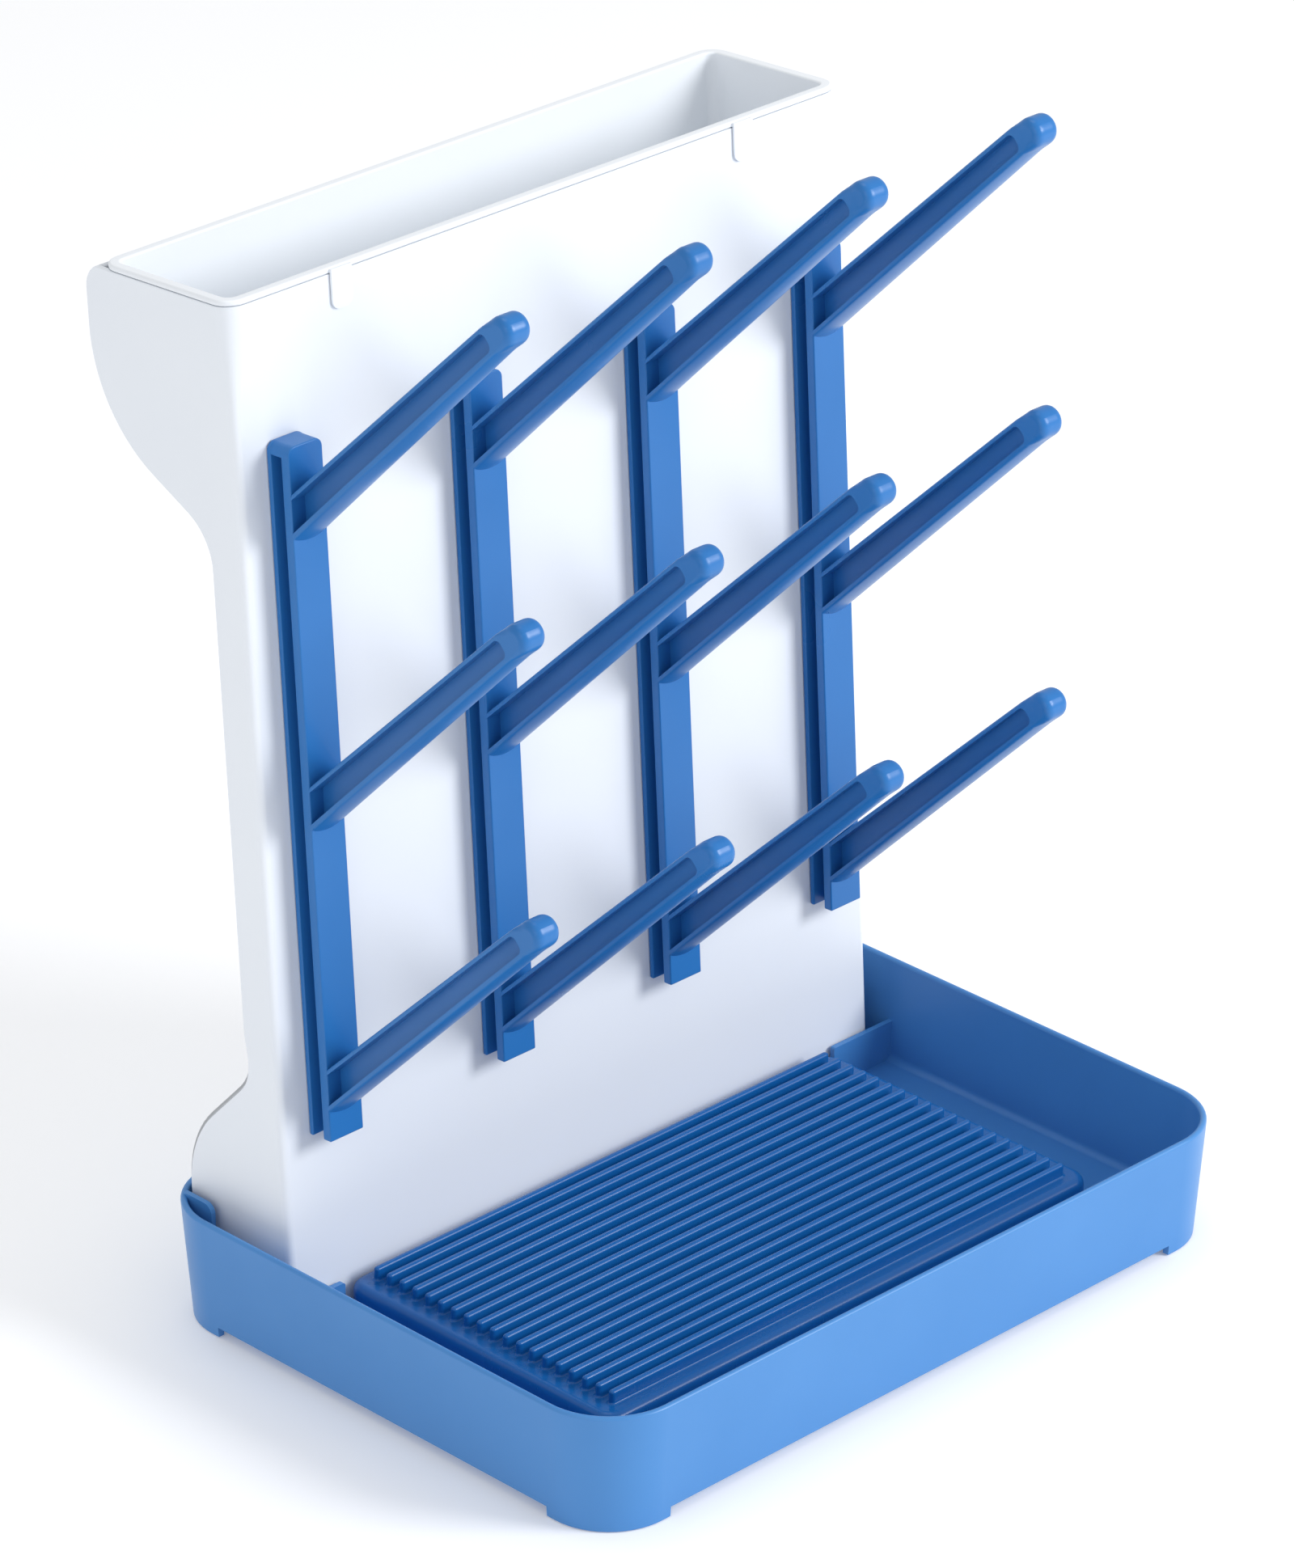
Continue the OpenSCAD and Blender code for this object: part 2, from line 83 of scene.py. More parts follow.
# %% [markdown]
# ## Helpers for modelling
# Most moulded parts can be drawn as one flat outline that is pulled into depth ring by ring. Each
# ring is the outline grown or shrunk a little, so a fillet is just a few rings along a quarter
# circle. `outline` makes the flat start, by rounding the corners of a one-face grid, and `pull`
# extrudes it.

# %% Outline and pull
def outline(form, half_w, half_d, radius, z, centre_y=0.0, steps=8):
    """A flat plate with four rounded corners, as one face."""
    made = bmesh.ops.create_grid(form, x_segments=1, y_segments=1, size=1)
    corners = made["verts"]
    bmesh.ops.scale(form, vec=(half_w, half_d, 1), verts=corners)
    bmesh.ops.translate(form, vec=(0, centre_y, z), verts=corners)
    before = set(form.faces)
    before.discard(corners[0].link_faces[0])
    bmesh.ops.bevel(form, geom=corners, offset=radius, segments=steps, profile=0.5,
                    affect="VERTICES", material=-1)
    return next(f for f in form.faces if f not in before)


def pull(form, face, steps, place):
    """Extrudes a face once for each step and lets `place` put every corner of the new face."""
    for number, step in enumerate(steps):
        made = bmesh.ops.extrude_face_region(form, geom=[face])
        new = next(g for g in made["geom"] if isinstance(g, bmesh.types.BMFace))
        if number:
            bmesh.ops.delete(form, geom=[face], context="FACES_ONLY")
        face = new
        for corner in face.verts:
            place(corner, step)
    return face


def grow(half_w, half_d, radius, centre_y=0.0):
    """For `pull`: a step is (growth, height), and corners move out from their rounding's centre."""
    def place(corner, step):
        growth, height = step
        middle = Vector((math.copysign(half_w - radius, corner.co.x),
                         centre_y + math.copysign(half_d - radius, corner.co.y - centre_y)))
        out = (corner.co.xy - middle).normalized()
        corner.co.xy = middle + out * (radius + growth)
        corner.co.z = height
    return place


def quarter(growth, height, radius, start, end, steps=5):
    """Rings along an arc round (growth, height), for a fillet or a rounded edge."""
    turns = [math.radians(start + (end - start) * i / steps) for i in range(steps + 1)]
    return [(growth + radius * math.cos(a), height + radius * math.sin(a)) for a in turns]


print("outline, pull, grow and quarter are ready")

# %% [markdown]
# A rib, hook or plate has the same outline all the way through. `slab` draws it from its corner
# points, rounds the corners that ask for it, and extrudes it once. `turned` is for round things:
# it spins half a section about an upright axis, as a lathe does.

# %% Slab and turned forms
def slab(form, corners, low, high, across="X", rounds=(), steps=5):
    """A plate between `low` and `high` along one axis. `corners` are its outline in the other two
    axes, and `rounds` are pairs of corner number and radius."""
    def point(pair, depth):
        a, b = pair
        return {"X": (depth, a, b), "Y": (a, depth, b), "Z": (a, b, depth)}[across]

    verts = [form.verts.new(point(c, low)) for c in corners]
    before = set(form.faces)
    face = form.faces.new(verts)
    for number, radius in rounds:
        bmesh.ops.bevel(form, geom=[verts[number]], offset=radius, segments=steps, profile=0.5,
                        affect="VERTICES", material=-1)
        face = next(f for f in form.faces if f not in before)
    made = bmesh.ops.extrude_face_region(form, geom=[face])
    moved = [g for g in made["geom"] if isinstance(g, bmesh.types.BMVert)]
    bmesh.ops.translate(form, vec=point((0, 0), high - low), verts=moved)


def block(form, low, high):
    slab(form, [(low[0], low[1]), (high[0], low[1]), (high[0], high[1]), (low[0], high[1])],
         low[2], high[2], across="Z")


def turned(form, section, centre, steps=32):
    """Spins a section, given as (radius, height) points, into a closed round form that stands
    upright on `centre`."""
    verts = [form.verts.new((r, 0, h)) for r, h in section]
    edges = [form.edges.new(pair) for pair in zip(verts, verts[1:])]
    before = set(form.verts) - set(verts)
    bmesh.ops.spin(form, geom=verts + edges, cent=(0, 0, 0), axis=(0, 0, 1), dvec=(0, 0, 0),
                   angle=math.tau, steps=steps, use_merge=True, use_duplicate=False)
    new = [v for v in form.verts if v not in before]
    bmesh.ops.translate(form, vec=centre, verts=new)


print("slab, block and turned are ready")

# %% [markdown]
# Real mouldings are one skin, not blocks pushed into each other. `fuse` and `carve` put two forms
# together or take one out of the other with Blender's exact Boolean, so each finished part is one
# closed mesh. The Boolean is a modifier, so both forms become objects for a moment. `tidy` first
# merges doubled points and turns every face outwards, which the Boolean needs.

# %% Join forms
scene = bpy.context.scene


def tidy(form):
    bmesh.ops.remove_doubles(form, verts=form.verts, dist=0.0005)
    bmesh.ops.dissolve_degenerate(form, edges=form.edges, dist=0.0004)
    bmesh.ops.recalc_face_normals(form, faces=form.faces)


def as_object(form):
    tidy(form)
    mesh = bpy.data.meshes.new("working")
    form.to_mesh(mesh)
    form.free()
    thing = bpy.data.objects.new("working", mesh)
    scene.collection.objects.link(thing)
    return thing


def combine(form, tool, how):
    body, other = as_object(form), as_object(tool)
    step = body.modifiers.new("combine", "BOOLEAN")
    step.object, step.operation, step.solver = other, how, "EXACT"
    result = body.evaluated_get(bpy.context.evaluated_depsgraph_get())
    made = bmesh.new()
    made.from_mesh(result.to_mesh())
    result.to_mesh_clear()
    for used in (body, other):
        mesh = used.data
        bpy.data.objects.remove(used)
        bpy.data.meshes.remove(mesh)
    return made


def fuse(form, tool):
    return combine(form, tool, "UNION")


def carve(form, tool):
    return combine(form, tool, "DIFFERENCE")


print("fuse and carve are ready")

# %% [markdown]
# ## Materials
# Everything but the screws and pads is injection-moulded polypropylene. It is coloured right
# through, a little glossy, and takes the fine spark-eroded grain of the mould. What the eye gets
# from it: soft wide highlights, a faint cloudiness where the pigment flowed, and thin scuffs.

# %% One function for colours and one for nodes
def linear(hex_colour):
    """An sRGB hex colour as the linear colour that a shader reads."""
    parts = [int(hex_colour[i:i + 2], 16) / 255 for i in (1, 3, 5)]
    return [c / 12.92 if c <= 0.04045 else ((c + 0.055) / 1.055) ** 2.4 for c in parts] + [1.0]


def add(tree, kind, settings=None, links=None):
    """Adds a node. `settings` sets its properties and sockets, and `links` feeds its sockets."""
    node = tree.nodes.new(kind)
    for key, value in (settings or {}).items():
        if isinstance(key, int) or key in node.inputs:
            node.inputs[key].default_value = value
        else:
            setattr(node, key, value)
    for key, source in (links or {}).items():
        tree.links.new(source, node.inputs[key])
    return node


print("the tray's blue", [round(c, 3) for c in linear("#4A89C9")[:3]])

# %% [markdown]
# The recipe for one moulded plastic. Grain is drawn at 0.9 mm: real mould grain is nearer 0.1 mm,
# but that is too fine to show, so it is as coarse as it needs to be. Cloudiness is 45 mm across,
# and scuffs are noise stretched along one axis, 0.6 mm wide and some 20 mm long.

# %% Moulded plastic
GRAIN = 1 / 0.0009
CLOUD = 1 / 0.045


def moulded(name, colour, shade, roughness, grain=0.03, gloss=0.5, scuffs=0.05):
    finish = bpy.data.materials.new(name)
    finish.use_nodes = True
    tree = finish.node_tree
    tree.nodes.clear()
    place = add(tree, "ShaderNodeTexCoord").outputs["Object"]
    cloud = add(tree, "ShaderNodeTexNoise", {"Scale": CLOUD, "Detail": 3.0, "Roughness": 0.5},
                {"Vector": place})
    tint = add(tree, "ShaderNodeMix", {"data_type": "RGBA", 6: linear(colour), 7: linear(shade)},
               {0: cloud.outputs["Fac"]})
    grain_noise = add(tree, "ShaderNodeTexNoise", {"Scale": GRAIN, "Detail": 2.0},
                      {"Vector": place})
    stretched = add(tree, "ShaderNodeMapping", {"Scale": (1 / 0.0006, 1 / 0.0006, 1 / 0.02)},
                    {"Vector": place})
    streaks = add(tree, "ShaderNodeTexNoise", {"Scale": 1.0, "Detail": 1.0},
                  {"Vector": stretched.outputs["Vector"]})
    worn = add(tree, "ShaderNodeMapRange",
               {"From Min": 0.66, "From Max": 0.8, "To Min": 0.0, "To Max": scuffs},
               {"Value": streaks.outputs["Fac"]})
    base = add(tree, "ShaderNodeMapRange",
               {"From Min": 0.3, "From Max": 0.7, "To Min": roughness - 0.04,
                "To Max": roughness + 0.05}, {"Value": cloud.outputs["Fac"]})
    rough = add(tree, "ShaderNodeMath", {"operation": "ADD"},
                {0: base.outputs["Result"], 1: worn.outputs["Result"]})
    relief = add(tree, "ShaderNodeBump", {"Strength": grain, "Distance": 0.0002},
                 {"Height": grain_noise.outputs["Fac"]})
    surface = add(tree, "ShaderNodeBsdfPrincipled", {"IOR": 1.49, "Specular IOR Level": gloss},
                  {"Base Color": tint.outputs[2], "Roughness": rough.outputs["Value"],
                   "Normal": relief.outputs["Normal"]})
    add(tree, "ShaderNodeOutputMaterial", None, {"Surface": surface.outputs["BSDF"]})
    return finish


tray_plastic = moulded("moulded_polypropylene_sky_blue", "#4A89C9", "#4281C1", 0.34,
                       gloss=0.42)
insert_plastic = moulded("moulded_polypropylene_deep_blue", "#1261A8", "#0F589C", 0.28,
                         gloss=0.36)
rail_plastic = moulded("moulded_polypropylene_rail_blue", "#2C74BA", "#266BAE", 0.31,
                       gloss=0.34)
white_plastic = moulded("moulded_polypropylene_white", "#E9EEF4", "#E5EAF1", 0.36)
bin_plastic = moulded("moulded_polypropylene_bin_white", "#EDF1F6", "#E8EDF3", 0.34)
rubber = moulded("moulded_rubber_slate", "#1C2A3C", "#182535", 0.62, grain=0.12, gloss=0.3)
print("plastics:", [m.name for m in bpy.data.materials])

# %% [markdown]
# The screws are zinc-plated steel. The plating gives a pale, slightly cloudy metal with a fine
# mottle some 0.25 mm across, which shows in the roughness and as a very low relief.

# %% Plated steel
steel = bpy.data.materials.new("zinc_plated_steel")
steel.use_nodes = True
steel_tree = steel.node_tree
steel_tree.nodes.clear()
steel_place = add(steel_tree, "ShaderNodeTexCoord").outputs["Object"]
steel_cloud = add(steel_tree, "ShaderNodeTexNoise", {"Scale": 1 / 0.002, "Detail": 3.0},
                  {"Vector": steel_place})
steel_tint = add(steel_tree, "ShaderNodeMix",
                 {"data_type": "RGBA", 6: linear("#C9CCD0"), 7: linear("#AEB3B9")},
                 {0: steel_cloud.outputs["Fac"]})
steel_mottle = add(steel_tree, "ShaderNodeTexNoise", {"Scale": 1 / 0.00025, "Detail": 1.0},
                   {"Vector": steel_place})
steel_rough = add(steel_tree, "ShaderNodeMapRange", {"To Min": 0.28, "To Max": 0.42},
                  {"Value": steel_mottle.outputs["Fac"]})
steel_relief = add(steel_tree, "ShaderNodeBump", {"Strength": 0.08, "Distance": 0.0001},
                   {"Height": steel_mottle.outputs["Fac"]})
steel_skin = add(steel_tree, "ShaderNodeBsdfPrincipled", {"Metallic": 1.0},
                 {"Base Color": steel_tint.outputs[2], "Roughness": steel_rough.outputs["Result"],
                  "Normal": steel_relief.outputs["Normal"]})
add(steel_tree, "ShaderNodeOutputMaterial", None, {"Surface": steel_skin.outputs["BSDF"]})
print("steel for the screws")

# %% [markdown]
# ## Finishing a piece
# `publish` turns a form into a piece: it faces outwards, is scaled to metres, gets a thin round on
# every remaining sharp edge as a mould does, and rides on its CAD body in place of its node. A
# piece whose edges are already rounded, or lie too close together for the Bevel modifier, is
# published with an edge of 0: its edges are only marked sharp, so that flat faces shade flat.

# %% Publish
SHARP = math.radians(38)    # two faces that meet at more than this make an edge


def face_out(form, inside):
    """Turns all faces round if they look towards the point `inside` on balance."""
    inside = Vector(inside)
    balance = sum(f.calc_area() * f.normal.dot(f.calc_center_median() - inside)
                  for f in form.faces)
    if balance < 0:
        bmesh.ops.reverse_faces(form, faces=form.faces)


def publish(form, name, node, body, finish, place=Matrix(), wall=0.0, inside=None,
            edge=0.35):
    """`wall` thickens an open skin inwards, the faces of which look away from the point `inside`.
    `edge` is the width of the rounded edges. Both widths are in millimetres."""
    tidy(form)
    if inside is not None:
        form.normal_update()
        face_out(form, inside)
    bmesh.ops.transform(form, matrix=place, verts=form.verts)
    bmesh.ops.scale(form, vec=(0.001, 0.001, 0.001), verts=form.verts)
    mesh = bpy.data.meshes.new(name)
    form.to_mesh(mesh)
    form.free()
    mesh.shade_smooth()
    if not edge:
        mesh.set_sharp_from_angle(angle=SHARP)
    mesh.materials.append(finish)
    piece = bpy.data.objects.new(name, mesh)
    scene.collection.objects.link(piece)
    if wall:
        shell = piece.modifiers.new("wall", "SOLIDIFY")
        shell.thickness, shell.offset, shell.use_even_offset = wall / 1000, -1, True
    if edge:
        soft = piece.modifiers.new("soft edges", "BEVEL")
        soft.width, soft.segments, soft.limit_method = edge / 1000, 2, "ANGLE"
        soft.angle_limit, soft.miter_outer = SHARP, "MITER_ARC"
        soft.use_clamp_overlap = True
    smooth = piece.modifiers.new("even shading", "WEIGHTED_NORMAL")
    smooth.weight, smooth.keep_sharp = 60, not edge
    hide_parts(node)
    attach(piece, body)
    print(name, len(mesh.polygons), "faces")


print("publish is ready")

# %% [markdown]
# ## The drip tray
# The tray is a deep dish with leaning walls. One pull makes it: from the underside down the inside
# of a low skirt, out under the wall, up to a rim that is rounded all the way over, down the
# inside, round a fillet and in to the floor. Drawing it as one skin keeps the wall's thickness
# true and the rim smooth.

# %% Tray dish
rim_w, rim_d = tray_high.x, (tray_high.y - tray_low.y) / 2
rim_z, rim_r, tray_wall = 48.5, 30.0, 2.6
foot_z, floor_z = 4.5, 6.9
drawn_in = 3.2              # how far the wall leans in between its rim and its foot
draft = drawn_in / (rim_z - foot_z)


def wall_at(z):
    """How far the leaning wall has drawn in from the rim at a height."""
    return -draft * (rim_z - z)


half_rim = tray_wall / 2
floor_fillet, foot_low = 3.0, 0.5
fillet_z = floor_z + floor_fillet
dish = bmesh.new()
start = outline(dish, rim_w, rim_d, rim_r, foot_z, steps=14)
skirt = wall_at(foot_low) - tray_wall
for corner in start.verts:
    grow(rim_w, rim_d, rim_r)(corner, (skirt, foot_z))
pull(dish, start,
     [(skirt, foot_low), (skirt + tray_wall, foot_low)]
     + quarter(-half_rim, rim_z - half_rim, half_rim, 0, 180, 10)
     + quarter(wall_at(fillet_z) - tray_wall - floor_fillet, fillet_z, floor_fillet, 0, -90, 6),
     grow(rim_w, rim_d, rim_r))
print("dish", len(dish.faces), "faces")

# %% [markdown]
# The wall reaches the table at the four corners only. Two long blocks, laid through the skirt
# both ways, carve the gaps between those corner feet. Bosses under the floor carry the pads.

# %% Corner feet and pad bosses
foot_len = 34.0
for gap_x, gap_y in ((rim_w - foot_len, rim_d + 9), (rim_w + 9, rim_d - foot_len)):
    gap = bmesh.new()
    block(gap, (-gap_x, -gap_y, foot_low - 1), (gap_x, gap_y, foot_z))
    dish = carve(dish, gap)

pad_in, pad_t, pad_r = rim_r - 4, 1.5, 8.0
boss_r, boss_top = pad_r + 1, foot_z + 1.2
for side in (-1, 1):
    for end in (-1, 1):
        boss = bmesh.new()
        turned(boss, [(0, pad_t), (boss_r, pad_t), (boss_r, boss_top), (0, boss_top)],
               (side * (rim_w - pad_in), end * (rim_d - pad_in), 0))
        dish = fuse(dish, boss)
print("dish on feet", len(dish.faces), "faces")

# %% [markdown]
# Inside, ribs locate the tower: a low ring that its hollow foot drops over, two stubs beside the
# insert that stop it sliding forward, and two upright plates grown into the rear corners, with a
# rounded upper corner.

# %% Tower seat
foot_front = tower_front - tray_middle
deck_half = insert_high.x
inner_d = rim_d + wall_at(floor_z) - tray_wall
sunk = floor_z - 1.2        # every rib starts inside the floor, so that the two fuse
spigot_gap, spigot_top, spigot_wall = 3.0, floor_z + 16.8, 2.4
foot_inside = 50.4          # from the tower's front face to the inside of its back cover
stub_gap, stub_top = 1.4, floor_z + 16.4
ear_len, ear_top, ear_gap = 20, rim_z + 1, 4.2
seat = bmesh.new()
spigot_w = tower_half - spigot_gap
spigot_y0 = foot_front + spigot_gap + (floor_z + 18) * math.tan(lean)
spigot_y1 = foot_front + foot_inside * math.cos(lean) - 0.8
spigot_d, spigot_y = (spigot_y1 - spigot_y0) / 2, (spigot_y0 + spigot_y1) / 2
start = outline(seat, spigot_w, spigot_d, 4, sunk, spigot_y, steps=5)
pull(seat, start, [(0, spigot_top), (-spigot_wall, spigot_top), (-spigot_wall, floor_z - 0.6)],
     grow(spigot_w, spigot_d, 4, spigot_y))
dish = fuse(dish, seat)
for side in (-1, 1):
    stub = bmesh.new()
    inner, outer = deck_half + stub_gap, rim_w + wall_at(floor_z + 18) - tray_wall / 2
    slab(stub, [(side * inner, sunk), (side * outer, sunk),
                (side * outer, stub_top), (side * inner, stub_top)],
         foot_front - 2.4, foot_front - 0.2, across="Y", rounds=[(3, 1.2)])
    dish = fuse(dish, stub)
    ear = bmesh.new()
    ear_x = side * (tower_half + ear_gap)
    slab(ear, [(inner_d - ear_len, sunk), (inner_d - 9.6, sunk),
               (inner_d - 4.6, ear_top), (inner_d - ear_len, ear_top)],
         ear_x - 1, ear_x + 1, across="X", rounds=[(3, 4.0)])
    dish = fuse(dish, ear)
publish(dish, "drip_tray", "base_tray", "base", tray_plastic, IN_TRAY, edge=0.4)

# %% [markdown]
# ## Foot pads
# Four rubber discs stop the rack sliding. Each is turned from half a section with a rounded edge
# and a shallow dimple that works as a sucker.

# %% Foot pads
for number in range(1, 5):
    side = 1 if number % 2 == 0 else -1
    end = 1 if number > 2 else -1
    pad = bmesh.new()
    turned(pad, [(0, 0.35), (4.5, 0.3), (5.4, 0.05), (7.3, 0.0), (7.8, 0.2), (8.0, 0.7),
                 (8.0, pad_t), (0, pad_t)],
           (side * (rim_w - pad_in), end * (rim_d - pad_in), 0), steps=40)
    publish(pad, f"rubber_pad_{number}", f"foot_pad_{number}", "base", rubber,
            IN_TRAY, edge=0)

# %% [markdown]
# ## The drip insert
# A shallow upturned box whose deck is covered with ribs. Its edge is a large soft round, and each
# rib is a long capsule with a fillet at its foot and a round crest, which catches the light as one
# bright line. A capsule is an outline whose corner radius is half its width.

# %% Drip insert
deck_z, deck_r, deck_round = floor_z + 15.6, 8.0, 3.6
deck_y = (insert_low.y + insert_high.y) / 2 - tray_middle
deck_d = (insert_high.y - insert_low.y) / 2
skirt_z = insert_low.z
deck = bmesh.new()
start = outline(deck, deck_half, deck_d, deck_r, deck_z - 2, deck_y, steps=8)
for corner in start.verts:
    grow(deck_half, deck_d, deck_r, deck_y)(corner, (-2, deck_z - 2))
pull(deck, start, [(-2, skirt_z), (0, skirt_z)]
     + quarter(-deck_round, deck_z - deck_round, deck_round, 0, 90, 7),
     grow(deck_half, deck_d, deck_r, deck_y))

rib_h, rib_half_w, rib_pitch, rib_border = 5.2, 1.4, 6.77, 8.2
rib_fillet, crest_r = 1.1, 1.25
rib_end = rib_half_w - 0.001    # just under half the width, so that the end's corners stay apart
rib_foot = deck_z - 0.6
rib_len = deck_half - rib_border
rib_total = int((2 * deck_d - rib_border - rib_half_w) / rib_pitch) + 1
ribs = bmesh.new()
for number in range(rib_total):
    y = deck_y - deck_d + rib_border + number * rib_pitch
    start = outline(ribs, rib_len, rib_half_w, rib_end, rib_foot, y, steps=5)
    place = grow(rib_len, rib_half_w, rib_end, y)
    for corner in start.verts:
        place(corner, (rib_fillet, rib_foot))
    foot = quarter(rib_fillet, deck_z + rib_fillet, rib_fillet, 270, 180, 5)
    crest = quarter(-crest_r, deck_z + rib_h - crest_r, crest_r, 0, 84, 6)
    pull(ribs, start, foot + crest, place)
deck = fuse(deck, ribs)
publish(deck, "ribbed_drip_insert", "drip_insert", "insert", insert_plastic,
        IN_TRAY, edge=0.3)
print(rib_total, "ribs")

# %% [markdown]
# ## The tower's side view
# The rear of the tower is a chain of arcs and straight runs: a big round head, a hollow curve into
# a slim waist, a hollow curve out again and a round foot. `bend` spins the chain's last point
# about a centre and `go` draws a straight run, so the arcs join smoothly without any guessing.
# Here Y is to the rear of the front face and Z runs along it, and a centre is a (Y, Z) pair.

# %% Rear curve
tower_h = shell_high.z / math.cos(lean)
head_c, head_r = (18.8, tower_h - 22.7), 56.0
edge_drop, edge_r = 8.9, 10.0
edge_c = (64.8, tower_h - edge_drop)
hollow_r, waist = 22.0, 17.0
head_hollow_c, foot_hollow_c = (waist + hollow_r, tower_h - 100.7), (waist + hollow_r, 117.0)
foot_c, foot_r, foot_depth = (8.8, 52.0), 46.0, 54.8
foot_step = 2.2             # the foot is this much slimmer inside the tray


def leave_angle(centre, radius, other, other_radius, turn):
    """Angle at which a straight run leaves one arc for the next, which curves the other way."""
    across, up = other[0] - centre[0], other[1] - centre[1]
    spread = math.acos((radius + other_radius) / math.hypot(across, up))
    return math.degrees(math.atan2(up, across) + turn * spread)


def go(form, tip, y, z):
    made = bmesh.ops.extrude_vert_indiv(form, verts=[tip])
    made["verts"][0].co = (0, y, z)
    return made["verts"][0]


def bend(form, tip, centre, degrees, steps):
    made = bmesh.ops.spin(form, geom=[tip], cent=(0, *centre), axis=(1, 0, 0), dvec=(0, 0, 0),
                          angle=math.radians(degrees), steps=steps, use_duplicate=False)
    return next(g for g in made["geom_last"] if isinstance(g, bmesh.types.BMVert))


def on_arc(centre, radius, degrees):
    a = math.radians(degrees)
    return centre[0] + radius * math.cos(a), centre[1] + radius * math.sin(a)


head_turn = leave_angle(head_c, head_r, head_hollow_c, hollow_r, 1)
foot_turn = leave_angle(foot_c, foot_r, foot_hollow_c, hollow_r, -1)
edge_turn = math.degrees(math.asin(edge_drop / edge_r))
chain = bmesh.new()
tip = chain.verts.new((0, foot_depth - foot_step, -5.0))
tip = go(chain, tip, foot_depth - foot_step, 30)
tip = go(chain, tip, foot_depth, 46)
tip = go(chain, tip, foot_depth, foot_c[1])
tip = bend(chain, tip, foot_c, foot_turn, 10)
tip = go(chain, tip, *on_arc(foot_hollow_c, hollow_r, foot_turn + 180))
tip = bend(chain, tip, foot_hollow_c, -foot_turn, 8)
tip = go(chain, tip, *on_arc(head_hollow_c, hollow_r, 180))
tip = bend(chain, tip, head_hollow_c, head_turn, 9)
tip = go(chain, tip, *on_arc(head_c, head_r, head_turn))
tip = bend(chain, tip, head_c, -head_turn, 14)
tip = go(chain, tip, edge_c[0] + edge_r, edge_c[1])
tip = bend(chain, tip, edge_c, edge_turn, 6)
rear = sorted({(round(v.co.z, 4), round(v.co.y, 4)) for v in chain.verts})
chain.free()


def rear_at(z):
    """Depth of the side view at a height along the tower."""
    for (z0, y0), (z1, y1) in zip(rear, rear[1:]):
        if z0 <= z <= z1:
            return y0 + (y1 - y0) * (z - z0) / max(z1 - z0, 1e-9)
    return rear[-1][1]


print("tower", round(tower_h, 1), "mm tall,", len(rear), "points down its back")

# %% [markdown]
# ## The front shell
# One wide channel: a front wall and two side walls that follow the side view. Its plan is drawn
# once as a line at the foot and extruded up row by row. The upright front corners are nearly sharp
# at the foot, and open to a bigger round in the last stretch below the bin's lip. Twelve cells are
# deleted where the rails' hooks go through, and Solidify then gives the walls their thickness.

# %% Front shell
rail_total, pegs_each = 4, 3
rail_half, rail_depth = 8.0, 11.2
rail_inset = 21.4           # from the tower's side to the middle of the outer rails
rail_pitch = 2 * (tower_half - rail_inset) / (rail_total - 1)
rail_xs = [(n - (rail_total - 1) / 2) * rail_pitch for n in range(rail_total)]
peg_turn, peg_pitch = math.radians(41.2), 110.3
root_half = 7.0
root_h = 2 * root_half / math.cos(peg_turn)
over_pegs, under_pegs = 17, 10.5
rail_len = (pegs_each - 1) * peg_pitch + root_h + over_pegs + under_pegs
rail_top = tower_h - 51.7
rail_foot = rail_top - rail_len
first_hook, hook_span = 22, rail_len - 50
hook_tops = [rail_top - first_hook - n * hook_span / 2 for n in range(3)]
slots = [(top - 6.3, top + 8.1) for top in hook_tops]
slot_half = 2.8
open_low, open_len = tower_h - 38, 34    # where the corners open to their bigger round
ease_low, ease_high = 105.0, 125.0       # the side walls come out to the rear curve between these


def corner_radius(z):
    part = min(max((z - open_low) / open_len, 0), 1)
    return 3.2 + 4.8 * part * part * (3 - 2 * part)


arc_steps = 6
plan = [("rear", -1, 0)] + [("arc", -1, i) for i in range(arc_steps + 1)]
plan += [("front", x + side * slot_half, 0) for x in rail_xs for side in (-1, 1)]
plan += [("arc", 1, i) for i in reversed(range(arc_steps + 1))] + [("rear", 1, 0)]


def shell_point(column, z):
    kind, side, step = plan[column]
    r = corner_radius(z)
    if kind == "front":
        x, y = side, 0.0
    elif kind == "arc":
        turn = math.radians(90 * step / arc_steps)
        x, y = side * (tower_half - r + r * math.cos(turn)), r - r * math.sin(turn)
    else:
        # near the foot the side walls stop short of the rear curve, clear of the tray's corners
        back_off = 2.6 * min(max((ease_high - z) / (ease_high - ease_low), 0), 1)
        x, y = side * tower_half, rear_at(z) - back_off
    if z <= shell_low.z:
        z = (shell_low.z + y * math.sin(lean)) / math.cos(lean)
    return Vector((x, y, z))


rows = {round(z, 3) for z, y in rear if z > shell_low.z + 6}
rows |= {round(z, 3) for pair in slots for z in pair} | {ease_low, ease_high}
rows |= {round(open_low + open_len * i / 8, 3) for i in range(9)} | {round(tower_h, 3)}
shell = bmesh.new()
column_of = shell.verts.layers.int.new("column")
line = []
for number in range(len(plan)):
    vert = shell.verts.new(shell_point(number, 0))
    vert[column_of] = number
    line.append(vert)
edges = [shell.edges.new(pair) for pair in zip(line, line[1:])]
for z in sorted(rows):
    made = bmesh.ops.extrude_edge_only(shell, edges=edges)["geom"]
    edges = [g for g in made if isinstance(g, bmesh.types.BMEdge)]
    for vert in (g for g in made if isinstance(g, bmesh.types.BMVert)):
        vert.co = shell_point(vert[column_of], z)
holes = [f for f in shell.faces if abs(f.calc_center_median().y) < 0.01
         and any(abs(f.calc_center_median().x - x) < 2 for x in rail_xs)
         and any(a < f.calc_center_median().z < b for a, b in slots)]
bmesh.ops.delete(shell, geom=holes, context="FACES")
